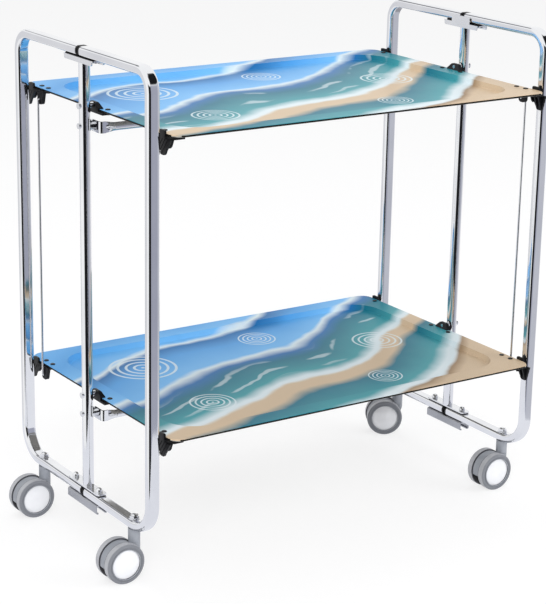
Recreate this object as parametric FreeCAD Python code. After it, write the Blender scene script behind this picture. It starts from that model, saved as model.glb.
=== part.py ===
"""Folding kitchen cart: two tilting trays in a chromed tube frame on four twin-wheel castors.

Millimetres, +Z up. The origin lies on the floor, at the middle between the four legs.
The front is -Y and the left end is -X. Pieces of one kind are drawn in the rear right
quarter (+X, +Y) and mirrored into the others, apart from the castors, which trail to -X, the
rear right one to -X and +Y.
"""
import FreeCAD, Part
import math
import os

V = FreeCAD.Vector
ORIGIN = V(0, 0, 0)
X_DIR = V(1, 0, 0)
Y_DIR = V(0, 1, 0)
Z_DIR = V(0, 0, 1)
FULL_TURN = 360
SIDES = {"left": -1, "right": 1}
ENDS = {"front": -1, "rear": 1}

# Cart as a whole, from the floor up
wheel_diameter = 55.0
bottom_bar_rise = 20.5
lower_tray_rise = 130.5
tray_spacing = 390.0
top_bar_rise = 77.5
tray_length = 588.0
tray_width = 400.0
leg_plane_gap = 16.0
leg_inset = 26.0
overrun = 5.0
pin_clearance = 0.05
running_gap = 0.2
join_tolerance = 0.0002

# Half frames: one bent flat-oval tube each
tube_width = 18.0
tube_depth = 13.0
tube_wall = 1.5
tube_corner = 5.5
top_bend = 26.0
bottom_bend = 40.0
arm_gap = 10.0
plug_gap = 0.8
plug_clearance = 0.1
plug_insert = 9.0

# Centre posts
post_diameter = 15.0
post_wall = 1.2

# Hinges between the posts and the half frames
hinge_pin_line = 33.0
hinge_pin_diameter = 6.0
hinge_pin_head = 9.0
hinge_knob_height = 6.5
hinge_tail_height = 1.6
hinge_sheet = 1.6
shim_thickness = 0.8
shim_width = 14.0
top_bracket_margin = 6.0
top_bracket_drop = 5.0
post_side_clearance = 0.4
stop_clearance = 0.3
stop_wall_length = 40.0
stop_wall_height = 9.0
stop_wall_round = 3.0
plate_margin = 10.0
plate_width = 15.0
plate_thickness = 2.0
plate_end_round = 5.0
channel_margin = 7.0
channel_width = 17.6
channel_drop = 11.0
channel_opening = 10.0
channel_bend = 2.4

# Tray pans
tray_sheet = 3.0
tray_corner = 18.0
tray_edge_round = 1.0
border_width = 28.0
recess_depth = 7.0
recess_corner = 45.0
recess_slope = 4.0
recess_round = 2.0

# Plastic fittings on the trays
fitting_skin = 2.6
fitting_base = 3.0
fitting_base_width = 19.0
rivet_line = 8.0
rivet_diameter = 3.0
rivet_head = 7.0
rivet_head_height = 1.2
rivet_tail = 5.0
rivet_tail_height = 0.8
pivot_rise = 7.0
pivot_block_base_length = 50.0
pivot_rivet_margin = 4.5
pivot_dome_gap = 3.5
pivot_dome_radius = 4.5
pivot_dome_shoulder = 1.5
pivot_block_depth = 8.0
pivot_block_top_depth = 4.5
corner_block_length = 38.0
corner_block_inset = 5.0
corner_rivet_margin = 6.0
corner_lip_length = 13.0
corner_lip_height = 4.0
corner_lip_round = 2.0
corner_gusset_length = 31.0
corner_gusset_drop = 24.0
corner_gusset_tip = 9.0
corner_gusset_lean = 5.0
corner_gusset_wall = 2.6
corner_rib = 2.0
corner_ribs = 3
corner_groove = 1.4
corner_groove_depth = 0.8
corner_grooves = 4
corner_round = 3.0
rod_bracket_length = 17.0
rod_bracket_cheek = 4.6
rod_bracket_nose = 6.5
rod_bracket_rivet = 6.0

# Pins that carry the trays
pivot_pin_diameter = 5.0
pivot_collar_diameter = 8.0
pivot_side_gap = 0.3
pivot_pin_reach = 6.5
pivot_head_diameter = 8.0
pivot_head_height = 2.2

# Link rods that keep the two trays parallel
rod_diameter = 3.0
rod_inset = 50.0
rod_drop = 12.0
rod_side_gap = 0.4
rod_bend_margin = 0.1
rod_tail = 2.6
open_pivot_clearance = 0.3

# Crossbars between the posts
crossbar_diameter = 11.0
crossbar_wall = 1.0
crossbar_drop = 19.0
crossbar_forward = 22.0
crossbar_strap = 2.0
crossbar_strap_width = 15.0
crossbar_strap_bend = 4.0
crossbar_pinch = 12.0
crossbar_strap_reach = 2.0
spacer_diameter = 12.0
screw_diameter = 4.0
screw_head = 7.5
screw_head_height = 2.4

# Castors
stem_inset = 47.0
stem_diameter = 8.0
neck_diameter = 16.0
neck_top_gap = 0.3
neck_sink = 4.5
stem_sink = 2.0
castor_trail = 21.0
castor_width = 35.0
wheel_width = 11.0
wheel_edge_round = 2.5
wheel_inner_round = 1.0
wheel_groove_depth = 0.6
wheel_groove_width = 1.8
wheel_groove_margin = 4.1
wheel_pocket_depth = 3.0
wheel_pocket_margin = 6.5
wheel_hub_radius = 8.0
cap_margin = 7.5
cap_clearance = 0.2
cap_seat = 2.5
cap_rise = 3.4
cap_edge = 1.4
axle_diameter = 6.0
axle_end_gap = 0.8
wheel_side_gap = 0.3
fender_margin = 1.5
fender_thickness = 3.0
fender_web = 6.0
fender_chord_drop = 17.5
washer_diameter = 14.0
washer_height = 1.2
nut_width = 11.0
nut_height = 3.4
nut_dome_radius = 5.5
nut_dome_height = 2.2
# Degrees about the stem: this castor stands out of the tilting lower tray's way
castor_headings = {("rear", "right"): -30}

# Places worked out from the sizes above
bottom_bar_level = wheel_diameter + bottom_bar_rise
lower_tray_level = bottom_bar_level + lower_tray_rise
upper_tray_level = lower_tray_level + tray_spacing
top_bar_level = upper_tray_level + top_bar_rise
leg_plane = tray_length / 2 + leg_plane_gap
leg_line = tray_width / 2 - leg_inset
rod_line = tray_width / 2 - rod_inset
stem_line = leg_line - stem_inset
top_bracket_length = 2 * (hinge_pin_line + top_bracket_margin)
plate_length = 2 * (hinge_pin_line + plate_margin)
channel_length = 2 * (hinge_pin_line + channel_margin)
pivot_rivet_spacing = pivot_block_base_length - 2 * pivot_rivet_margin
pivot_block_length = pivot_rivet_spacing - rivet_head - 2 * pivot_dome_gap
corner_block_end = tray_width / 2 - corner_block_inset
corner_block_start = corner_block_end - corner_block_length
corner_rivet_place = corner_block_start + corner_rivet_margin
neck_foot = wheel_diameter - neck_sink
stem_floor = wheel_diameter - stem_sink
cap_diameter = wheel_diameter - 2 * cap_margin
axle_length = castor_width - 2 * (cap_seat + axle_end_gap)
post_plane = leg_plane - (tube_width - post_diameter) / 2
post_inner = post_plane - post_diameter / 2
post_outer = post_plane + post_diameter / 2
tray_edge = tray_length / 2
fitting_face = tray_edge + fitting_skin
top_arm_floor = top_bar_level - tube_depth / 2
bottom_arm_floor = bottom_bar_level - tube_depth / 2
bottom_arm_top = bottom_bar_level + tube_depth / 2
top_shim_floor = top_arm_floor - running_gap - shim_thickness
top_web_floor = top_shim_floor - hinge_sheet
bottom_shim_floor = bottom_arm_top + running_gap
plate_floor = bottom_shim_floor + shim_thickness
plate_top = plate_floor + plate_thickness
channel_top = bottom_arm_floor - running_gap
channel_web_floor = channel_top - hinge_sheet
wheel_radius = wheel_diameter / 2
wheel_face = castor_width / 2
wheel_inner_face = wheel_face - wheel_width
wheel_groove_outer = wheel_radius - wheel_groove_margin
wheel_groove_inner = wheel_groove_outer - wheel_groove_width
wheel_pocket_outer = wheel_radius - wheel_pocket_margin
tray_levels = {"upper": upper_tray_level, "lower": lower_tray_level}
rod_corners = (("rear", "left"), ("front", "right"))


def quarter(shape, side, end):
    """The rear right shape mirrored to the given side (left or right) and end (front or rear)."""
    if SIDES[side] < 0:
        shape = shape.mirror(ORIGIN, X_DIR)
    if ENDS[end] < 0:
        shape = shape.mirror(ORIGIN, Y_DIR)
    return shape


def cylinder(base, axis, diameter, length):
    """A round bar that starts at base and runs along axis."""
    return Part.makeCylinder(diameter / 2, length, base, axis)


def ring(base, axis, outer, inner, length):
    """A round tube that starts at base and runs along axis."""
    return cylinder(base, axis, outer, length).cut(cylinder(base, axis, inner, length))


def fused(shapes):
    """All shapes joined into one solid without seams."""
    first, *others = shapes
    return first.fuse(others).removeSplitter()


def corner_points(before, corner, after, radius):
    """Start, middle and end of the arc that rounds a corner."""
    back = (before - corner).normalize()
    onward = (after - corner).normalize()
    half_angle = back.getAngle(onward) / 2
    reach = radius / math.tan(half_angle)
    inward = (back + onward).normalize()
    middle = corner + inward * (radius / math.sin(half_angle) - radius)
    return corner + back * reach, middle, corner + onward * reach


def rounded_edges(points, radii, closed):
    """Lines and arcs along points, each inner corner rounded by its own radius."""
    count = len(points)
    stations = []
    for index, point in enumerate(points):
        at_end = not closed and index in (0, count - 1)
        if at_end or radii[index] == 0:
            stations.append((point, None, point))
        else:
            before = points[index - 1]
            after = points[(index + 1) % count]
            stations.append(corner_points(before, point, after, radii[index]))
    edges = []
    for index, (start, middle, finish) in enumerate(stations):
        if middle is not None:
            edges.append(Part.Arc(start, middle, finish).toShape())
        if closed or index < count - 1:
            following = stations[(index + 1) % count][0]
            if not finish.isEqual(following, join_tolerance):
                edges.append(Part.makeLine(finish, following))
    return edges


def outline(points, radii):
    """Closed wire with rounded corners."""
    return Part.Wire(rounded_edges(points, radii, True))


def slab(points, radii, extent):
    """A flat outline pulled along extent into a solid."""
    return Part.Face(outline(points, radii)).extrude(extent)


def rectangle_points(centre, across, up, width, height):
    """Corners of a rectangle, going round from the low corner."""
    half_across = across * (width / 2)
    half_up = up * (height / 2)
    return [centre - half_across - half_up, centre + half_across - half_up,
            centre + half_across + half_up, centre - half_across + half_up]


def rounded_rectangle(centre, across, up, width, height, radius):
    """Closed wire of a rectangle with four equal rounds."""
    points = rectangle_points(centre, across, up, width, height)
    return outline(points, [radius] * len(points))


def turned(profile, base, axis):
    """A half section, given as points and radii, turned once about an axis."""
    points, radii = profile
    return Part.Face(outline(points, radii)).revolve(base, axis, FULL_TURN)


def tube_section(centre, across, up, inset):
    """Outline of the flat-oval tube, drawn smaller all round by inset."""
    return rounded_rectangle(centre, across, up, tube_width - 2 * inset,
                             tube_depth - 2 * inset, tube_corner - inset)


def half_frame_tube():
    """C-shaped tube: upper arm, leg and lower arm, open at the hinge side."""
    arm_end = arm_gap / 2
    points = [V(leg_plane, arm_end, top_bar_level), V(leg_plane, leg_line, top_bar_level),
              V(leg_plane, leg_line, bottom_bar_level), V(leg_plane, arm_end, bottom_bar_level)]
    path = Part.Wire(rounded_edges(points, [0, top_bend, bottom_bend, 0], False))
    solids = []
    for inset in (0, tube_wall):
        section = tube_section(points[0], X_DIR, Z_DIR, inset)
        solids.append(path.makePipeShell([section], True, False))
    tube = solids[0].cut(solids[1])
    pin_hole = hinge_pin_diameter + 2 * pin_clearance
    upper_hole = cylinder(V(leg_plane, hinge_pin_line, top_arm_floor - overrun), Z_DIR,
                          pin_hole, overrun + tube_depth / 2)
    lower_hole = cylinder(V(leg_plane, hinge_pin_line, bottom_arm_floor - overrun), Z_DIR,
                          pin_hole, tube_depth + 2 * overrun)
    stem_hole = cylinder(V(leg_plane, stem_line, bottom_arm_floor - overrun), Z_DIR,
                         stem_diameter + 2 * pin_clearance, tube_depth + 2 * overrun)
    return tube.cut([upper_hole, lower_hole, stem_hole])


def end_plugs():
    """Two black plugs that close the arms, their heads rounded about the hinge pin."""
    plugs = []
    for level in (top_bar_level, bottom_bar_level):
        centre = V(leg_plane, arm_gap / 2, level)
        head = Part.Face(tube_section(centre, X_DIR, Z_DIR, 0)).extrude(Y_DIR * (-arm_gap / 2))
        swing = cylinder(V(leg_plane, hinge_pin_line, level - tube_depth), Z_DIR,
                         2 * hinge_pin_line - plug_gap, 2 * tube_depth)
        insert_face = Part.Face(tube_section(centre, X_DIR, Z_DIR, tube_wall + plug_clearance))
        plugs.append(fused([head.common(swing), insert_face.extrude(Y_DIR * plug_insert)]))
    return Part.makeCompound(plugs)


def hexagon(centre, width):
    """Closed wire of a hexagon that is width across its flats."""
    sides = 6
    radius = width / 2 / math.cos(math.pi / sides)
    points = [centre + V(radius * math.cos(turn * 2 * math.pi / sides),
                         radius * math.sin(turn * 2 * math.pi / sides), 0)
              for turn in range(sides)]
    return Part.makePolygon(points + points[:1])


def castor_fixing():
    """Threaded stem of a castor with its washer and domed nut on top of the lower arm."""
    foot = V(leg_plane, stem_line, stem_floor)
    seat = V(leg_plane, stem_line, bottom_arm_top)
    nut_floor = seat + Z_DIR * washer_height
    nut_top = nut_floor + Z_DIR * nut_height
    stem = cylinder(foot, Z_DIR, stem_diameter, nut_top.z - foot.z)
    washer = ring(seat, Z_DIR, washer_diameter, stem_diameter, washer_height)
    nut = Part.Face(hexagon(nut_floor, nut_width)).extrude(Z_DIR * nut_height)
    dome_core = nut_top + Z_DIR * (nut_dome_height - nut_dome_radius)
    dome = Part.makeSphere(nut_dome_radius, dome_core)
    dome = dome.common(cylinder(nut_top, Z_DIR, nut_width, nut_dome_height + overrun))
    nut = fused([nut, dome]).cut(stem)
    return Part.makeCompound([stem, washer, nut])


def post_bar(length_floor, length_top, diameter):
    """A vertical round bar on the axis of the right-hand post."""
    return cylinder(V(post_plane, 0, length_floor), Z_DIR, diameter, length_top - length_floor)


def screw_places():
    """Where each crossbar's screw crosses the post, as points on the post's axis."""
    return [V(post_plane, 0, level - crossbar_drop) for level in tray_levels.values()]


def post():
    """Round centre post from the lower hinge plate to the upper hinge bracket."""
    tube = post_bar(plate_top, top_web_floor, post_diameter)
    tube = tube.cut(post_bar(plate_top, top_web_floor, post_diameter - 2 * post_wall))
    bores = []
    for level in tray_levels.values():
        start = V(post_inner - overrun, 0, level + pivot_rise)
        bores.append(cylinder(start, X_DIR, pivot_pin_diameter, post_diameter + 2 * overrun))
    for place in screw_places():
        start = V(post_inner - overrun, 0, place.z)
        bores.append(cylinder(start, X_DIR, screw_diameter, post_diameter + 2 * overrun))
    return tube.cut(bores)


def pin_holes(floor, top):
    """Cutters for the two hinge pins of one side between two levels."""
    return [cylinder(V(leg_plane, end * hinge_pin_line, floor), Z_DIR, hinge_pin_diameter,
                     top - floor) for end in ENDS.values()]


def top_hinge_bracket():
    """Pressed channel under the upper arms, with a stop wall that keeps them from opening out."""
    wall_outer = leg_plane - tube_width / 2 - stop_clearance
    wall_inner = wall_outer - hinge_sheet
    flange_outer = post_outer + post_side_clearance + hinge_sheet
    flange_floor = top_web_floor - top_bracket_drop
    middle = V((wall_inner + flange_outer) / 2, 0, top_web_floor)
    web_points = rectangle_points(middle, X_DIR, Y_DIR, flange_outer - wall_inner,
                                  top_bracket_length)
    web = slab(web_points, [channel_bend] * len(web_points), Z_DIR * hinge_sheet)
    flange_end = top_bracket_length / 2 - channel_bend
    flange_corners = [0, 0, channel_bend, channel_bend]
    pieces = [web]
    for face in (wall_inner, flange_outer - hinge_sheet):
        points = [V(face, -flange_end, top_shim_floor), V(face, flange_end, top_shim_floor),
                  V(face, flange_end, flange_floor), V(face, -flange_end, flange_floor)]
        pieces.append(slab(points, flange_corners, X_DIR * hinge_sheet))
    stop_end = stop_wall_length / 2
    stop_top = top_arm_floor + stop_wall_height
    stop_points = [V(wall_inner, -stop_end, top_web_floor), V(wall_inner, stop_end, top_web_floor),
                   V(wall_inner, stop_end, stop_top), V(wall_inner, -stop_end, stop_top)]
    pieces.append(slab(stop_points, [0, 0, stop_wall_round, stop_wall_round],
                       X_DIR * hinge_sheet))
    bracket = fused(pieces)
    return bracket.cut(pin_holes(top_web_floor - overrun, top_arm_floor))


def bottom_hinge_plate():
    """Flat plate on the lower arms that carries the post."""
    middle = V(leg_plane, 0, plate_floor)
    points = rectangle_points(middle, X_DIR, Y_DIR, plate_width, plate_length)
    plate = slab(points, [plate_end_round] * len(points), Z_DIR * plate_thickness)
    return plate.cut(pin_holes(plate_floor - overrun, plate_top + overrun))


def bottom_hinge_channel():
    """Channel under the lower arms, its flanges bent down and their lips turned in."""
    lip = channel_web_floor - channel_drop
    outer_half = channel_width / 2
    inner_half = outer_half - hinge_sheet
    mouth_half = channel_opening / 2
    section = [(-mouth_half, lip), (-outer_half, lip), (-outer_half, channel_top),
               (outer_half, channel_top), (outer_half, lip), (mouth_half, lip),
               (mouth_half, lip + hinge_sheet), (inner_half, lip + hinge_sheet),
               (inner_half, channel_web_floor), (-inner_half, channel_web_floor),
               (-inner_half, lip + hinge_sheet), (-mouth_half, lip + hinge_sheet)]
    points = [V(leg_plane + across, -channel_length / 2, level) for across, level in section]
    inner_bend = channel_bend - hinge_sheet
    radii = [0] + [channel_bend] * 4 + [0, 0] + [inner_bend] * 4 + [0]
    channel = slab(points, radii, Y_DIR * channel_length)
    return channel.cut(pin_holes(channel_web_floor - overrun, channel_top + overrun))


def hinge_shims():
    """Thin dark slips between the arms and the hinge plates on both sides."""
    slips = []
    levels = ((top_shim_floor, top_bracket_length), (bottom_shim_floor, plate_length))
    for floor, length in levels:
        points = rectangle_points(V(leg_plane, 0, floor), X_DIR, Y_DIR, shim_width, length)
        slip = slab(points, [plate_end_round] * len(points), Z_DIR * shim_thickness)
        slip = slip.cut(pin_holes(floor - overrun, floor + overrun))
        slips += [slip, slip.mirror(ORIGIN, X_DIR)]
    return Part.makeCompound(slips)


def pin_turned(axis_point, steps, knob_round):
    """A pin turned from (floor level, radius) steps, its top step rounded over."""
    points = [axis_point + Z_DIR * steps[0][0]]
    radii = [0]
    for (floor, radius), (top, _) in zip(steps, steps[1:]):
        points += [axis_point + X_DIR * radius + Z_DIR * floor,
                   axis_point + X_DIR * radius + Z_DIR * top]
        radii += [0, 0]
    radii[-1] = knob_round
    points.append(axis_point + Z_DIR * steps[-1][0])
    radii.append(0)
    return turned((points, radii), axis_point, Z_DIR)


def hinge_pins():
    """Eight vertical pins, two in each hinge, that the half frames turn about."""
    shank = hinge_pin_diameter / 2
    head = hinge_pin_head / 2
    inner_roof = top_bar_level + tube_depth / 2 - tube_wall - running_gap
    upper = [(top_web_floor - hinge_tail_height, head), (top_web_floor, shank), (inner_roof, 0)]
    lower = [(channel_web_floor - hinge_tail_height, head), (channel_web_floor, shank),
             (plate_top, head), (plate_top + hinge_knob_height, 0)]
    pins = []
    for side in SIDES:
        for end in ENDS:
            axis_point = V(leg_plane, hinge_pin_line, 0)
            knob_round = head - running_gap
            for steps, rounding in ((upper, 0), (lower, knob_round)):
                pin = pin_turned(axis_point, steps, rounding)
                pins.append(quarter(pin, side, end))
    return Part.makeCompound(pins)


def pivot_pin(level):
    """Shouldered pin through the post that a tray tilts on."""
    axis_level = level + pivot_rise
    post_core = post_bar(axis_level - post_diameter, axis_level + post_diameter, post_diameter)
    collar_end = fitting_face + pivot_side_gap
    collar = cylinder(V(collar_end, 0, axis_level), X_DIR, pivot_collar_diameter,
                      post_plane - collar_end).cut(post_core)
    head_face = post_outer + pivot_head_height
    head = cylinder(V(post_plane, 0, axis_level), X_DIR, pivot_head_diameter,
                    head_face - post_plane).cut(post_core)
    shank_end = fitting_face - pivot_pin_reach
    shank = cylinder(V(shank_end, 0, axis_level), X_DIR, pivot_pin_diameter,
                     head_face - shank_end)
    return fused([collar, shank, head])


def tray_pivot_pins():
    """The four pins that carry the two trays."""
    pins = []
    for level in tray_levels.values():
        pin = pivot_pin(level)
        pins += [pin, pin.mirror(ORIGIN, X_DIR)]
    return Part.makeCompound(pins)


def strap_plane():
    """Distance of the crossbar's flattened end from the middle, to the centre of its sheet."""
    return fitting_face + pivot_side_gap + crossbar_strap / 2


def crossbar_transition(bar_end, strap_start, centre_y, level):
    """Tube end pressed flat: from the round bar to a thin upright strap."""
    radius = crossbar_diameter / 2
    half_strap = crossbar_strap / 2
    straight = (crossbar_strap_width - crossbar_strap) / 2
    diagonal = radius / math.sqrt(2)
    round_points = []
    flat_points = []
    for upward, forward in ((-1, -1), (1, -1), (1, 1), (-1, 1)):
        round_points.append(V(bar_end, centre_y + forward * diagonal, level + upward * diagonal))
        flat_points.append(V(strap_start, centre_y + forward * half_strap,
                             level + upward * straight))
    round_mids = [V(bar_end, centre_y - radius, level), V(bar_end, centre_y, level + radius),
                  V(bar_end, centre_y + radius, level), V(bar_end, centre_y, level - radius)]
    round_edges = []
    flat_edges = []
    for index, mid in enumerate(round_mids):
        following = (index + 1) % len(round_mids)
        round_edges.append(Part.Arc(round_points[index], mid, round_points[following]).toShape())
        if index % 2 == 0:
            flat_edges.append(Part.makeLine(flat_points[index], flat_points[following]))
        else:
            tip = V(strap_start, centre_y,
                    level + (2 - index) * (straight + half_strap))
            flat_edges.append(Part.Arc(flat_points[index], tip, flat_points[following]).toShape())
    return Part.makeLoft([Part.Wire(round_edges), Part.Wire(flat_edges)], True, True)


def crossbar_strap_end(level):
    """Flattened end that turns back along the post and takes the screw."""
    centre_y = -crossbar_forward
    plane = strap_plane()
    turn = crossbar_strap_bend
    half = crossbar_strap / 2
    start = plane - turn
    pinch_end = start - crossbar_strap_bend
    strap_end = crossbar_strap_width / 2 - crossbar_strap_reach
    outer = [V(pinch_end, centre_y - half, level), V(plane + half, centre_y - half, level),
             V(plane + half, strap_end, level), V(plane - half, strap_end, level),
             V(plane - half, centre_y + half, level), V(pinch_end, centre_y + half, level)]
    radii = [0, turn + half, 0, 0, turn - half, 0]
    lift = Z_DIR * (crossbar_strap_width / 2)
    strap = slab([point - lift for point in outer], radii, lift * 2)
    end_round = crossbar_strap_width / 2
    side_points = [V(pinch_end, strap_end - end_round, level) - lift,
                   V(pinch_end, strap_end, level) - lift,
                   V(pinch_end, strap_end, level) + lift,
                   V(pinch_end, strap_end - end_round, level) + lift]
    square = slab(side_points, [0, 0, 0, 0], X_DIR * (2 * turn + crossbar_strap))
    round_end = cylinder(V(pinch_end, strap_end - end_round, level), X_DIR,
                         crossbar_strap_width, 2 * turn + crossbar_strap)
    strap = strap.cut(square.cut(round_end))
    hole = cylinder(V(pinch_end, 0, level), X_DIR, screw_diameter, 2 * turn + overrun)
    return strap.cut(hole), pinch_end


def crossbar(level):
    """Round tube across the cart in front of the posts, its ends pressed flat and bent back."""
    bar_level = level - crossbar_drop
    centre_y = -crossbar_forward
    strap, strap_start = crossbar_strap_end(bar_level)
    bar_end = strap_start - crossbar_pinch
    bar = ring(V(-bar_end, centre_y, bar_level), X_DIR, crossbar_diameter,
               crossbar_diameter - 2 * crossbar_wall, 2 * bar_end)
    pinch = crossbar_transition(bar_end, strap_start, centre_y, bar_level)
    right_end = fused([pinch, strap])
    return fused([bar, right_end, right_end.mirror(ORIGIN, X_DIR)])


def crossbar_spacers():
    """Rings between the flattened crossbar ends and the posts."""
    inner_face = strap_plane() + crossbar_strap / 2
    rings = []
    for place in screw_places():
        core = post_bar(place.z - spacer_diameter, place.z + spacer_diameter, post_diameter)
        start = V(inner_face, 0, place.z)
        spacer = ring(start, X_DIR, spacer_diameter, screw_diameter, post_plane - inner_face)
        spacer = spacer.cut(core)
        rings += [spacer, spacer.mirror(ORIGIN, X_DIR)]
    return Part.makeCompound(rings)


def crossbar_screws():
    """Screws from outside through post, spacer and crossbar end."""
    screws = []
    start_x = strap_plane() - crossbar_strap / 2
    for place in screw_places():
        core = post_bar(place.z - spacer_diameter, place.z + spacer_diameter, post_diameter)
        head_face = post_outer + screw_head_height
        shank = cylinder(V(start_x, 0, place.z), X_DIR, screw_diameter, head_face - start_x)
        head = cylinder(place, X_DIR, screw_head, head_face - place.x).cut(core)
        screw = fused([shank, head])
        screws += [screw, screw.mirror(ORIGIN, X_DIR)]
    return Part.makeCompound(screws)


def rivet_places():
    """Rivets of the rear right quarter as (y, corners that have it)."""
    every_corner = [(end, side) for end in ENDS for side in SIDES]
    bracket_rivet = rod_line - rod_bracket_rivet
    return [(pivot_rivet_spacing / 2, every_corner), (corner_rivet_place, every_corner),
            (bracket_rivet, rod_corners)]


def rivet_bores(level, floor, top):
    """Cutters for all rivets of one tray between two levels."""
    bores = []
    for place, corners in rivet_places():
        bar = cylinder(V(tray_edge - rivet_line, place, level + floor), Z_DIR,
                       rivet_diameter, top - floor)
        bores += [quarter(bar, side, end) for end, side in corners]
    return bores


def pan_loft(level, width_inset, top, floor, inset):
    """Tapered body of the recess between two levels, inset all round by a wall."""
    wires = []
    for height, shrink in ((top, 0), (floor, recess_slope)):
        length = tray_length - 2 * (width_inset + shrink + inset)
        width = tray_width - 2 * (width_inset + shrink + inset)
        corner = recess_corner - shrink - inset
        wires.append(rounded_rectangle(V(0, 0, level + height), X_DIR, Y_DIR, length, width,
                                       corner))
    return Part.makeLoft(wires, True, True)


def tray_panel(level):
    """Pressed pan: a flat border round a shallow recess with sloping walls."""
    border = Part.Face(rounded_rectangle(V(0, 0, level), X_DIR, Y_DIR, tray_length, tray_width,
                                         tray_corner)).extrude(Z_DIR * tray_sheet)
    border = border.makeFillet(tray_edge_round, long_edges(border))
    under = pan_loft(level, border_width - tray_sheet, 0, -recess_depth, 0)
    pan = fused([border, under])
    hollow = pan_loft(level, border_width, tray_sheet, tray_sheet - recess_depth, 0)
    pan = pan.cut(hollow)
    floor_level = level + tray_sheet - recess_depth
    floor_edges = [edge for edge in pan.Edges
                   if abs(edge.BoundBox.ZMin - floor_level) < running_gap
                   and abs(edge.BoundBox.ZMax - floor_level) < running_gap]
    pan = pan.makeFillet(recess_round, floor_edges)
    return pan.cut(rivet_bores(level, -overrun, tray_sheet + overrun))


def long_edges(plate):
    """Edges of a flat plate that lie in its two faces."""
    return [edge for edge in plate.Edges if edge.BoundBox.ZLength < running_gap]


def pivot_block(level):
    """Domed bearing block of the right side: base under the border, dome above its edge."""
    axis_level = level + pivot_rise
    border_top = level + tray_sheet
    base_floor = level - fitting_base
    dome_top = axis_level + pivot_dome_radius
    base_inner = tray_edge - fitting_base_width
    half_base = pivot_block_base_length / 2
    reach = V(0, pivot_block_base_length, 0)
    # Section across the border edge
    section = [V(base_inner, -half_base, base_floor), V(fitting_face, -half_base, base_floor),
               V(fitting_face, -half_base, dome_top),
               V(fitting_face - pivot_block_top_depth, -half_base, dome_top),
               V(fitting_face - pivot_block_depth, -half_base, border_top),
               V(tray_edge, -half_base, border_top), V(tray_edge, -half_base, level),
               V(base_inner, -half_base, level)]
    across = slab(section, [0, 0, tray_edge_round, corner_lip_round, 0, 0, 0, 0], reach)
    # View along the pivot axis: wide base, and the dome with sloping shoulders
    half_dome = pivot_block_length / 2
    shoulder = border_top + pivot_dome_shoulder
    half_crown = half_dome / 2
    side_view = [V(base_inner, -half_base, base_floor), V(base_inner, half_base, base_floor),
                 V(base_inner, half_base, level), V(base_inner, half_dome, level),
                 V(base_inner, half_dome, shoulder), V(base_inner, half_crown, dome_top),
                 V(base_inner, -half_crown, dome_top), V(base_inner, -half_dome, shoulder),
                 V(base_inner, -half_dome, level), V(base_inner, -half_base, level)]
    crown = pivot_dome_radius
    radii = [0, 0, 0, 0, tray_edge_round, crown, crown, tray_edge_round, 0, 0]
    along = slab(side_view, radii, X_DIR * (fitting_face - base_inner))
    bore = cylinder(V(base_inner, 0, axis_level), X_DIR, pivot_pin_diameter + 2 * pin_clearance,
                    fitting_face - base_inner + overrun)
    return across.common(along).cut(bore)


def pivot_blocks(level):
    """Both bearing blocks of one tray."""
    block = pivot_block(level)
    pair = Part.makeCompound([block, block.mirror(ORIGIN, X_DIR)])
    return cut_each(pair, rivet_bores(level, -overrun, 0))


def cut_each(compound, cutters):
    """Cut every solid of a group by the same cutters."""
    return Part.makeCompound([solid.cut(cutters) for solid in compound.Solids])


def gusset_slope(level, lean):
    """Upper and lower end of the gusset's sloping side, which lies on the side it leans from."""
    middle = corner_block_end - corner_gusset_length / 2
    top = V(fitting_face, middle - lean * corner_gusset_length / 2, level - fitting_base)
    tip = middle + lean * (corner_gusset_lean - corner_gusset_tip / 2)
    return top, V(fitting_face, tip, level - corner_gusset_drop)


def corner_gusset(level, lean):
    """Plate under the border with one sloping side, grooves along it and ribs behind."""
    slope_top, slope_tip = gusset_slope(level, lean)
    along = Y_DIR * lean
    points = [slope_top, slope_top + along * corner_gusset_length,
              slope_tip + along * corner_gusset_tip, slope_tip]
    radii = [0, 0, corner_round, corner_round]
    skin = slab(points, radii, X_DIR * -corner_gusset_wall)
    pitch = corner_gusset_length / (corner_grooves + 1)
    grooves = []
    for index in range(corner_grooves):
        top = slope_top + along * (pitch * (index + 1))
        tip = slope_tip + along * (pitch * (index + 1))
        ends = [top, top + along * corner_groove, tip + along * corner_groove, tip]
        grooves.append(slab(ends, [0, 0, 0, 0], X_DIR * -corner_groove_depth))
    skin = skin.cut(grooves)
    depth = fitting_base_width / 2
    rib_body = slab(points, radii, X_DIR * -depth)
    low = min(slope_top.y, points[1].y)
    ribs = []
    for index in range(corner_ribs):
        place = low + corner_gusset_length * (index + 1) / (corner_ribs + 1)
        rib = [V(fitting_face - corner_gusset_wall, place - corner_rib / 2, slope_top.z),
               V(fitting_face - depth, place - corner_rib / 2, slope_top.z),
               V(fitting_face - corner_gusset_wall, place - corner_rib / 2, slope_tip.z)]
        ribs.append(slab(rib, [0, 0, 0], Y_DIR * corner_rib).common(rib_body))
    return [skin] + ribs


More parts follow.
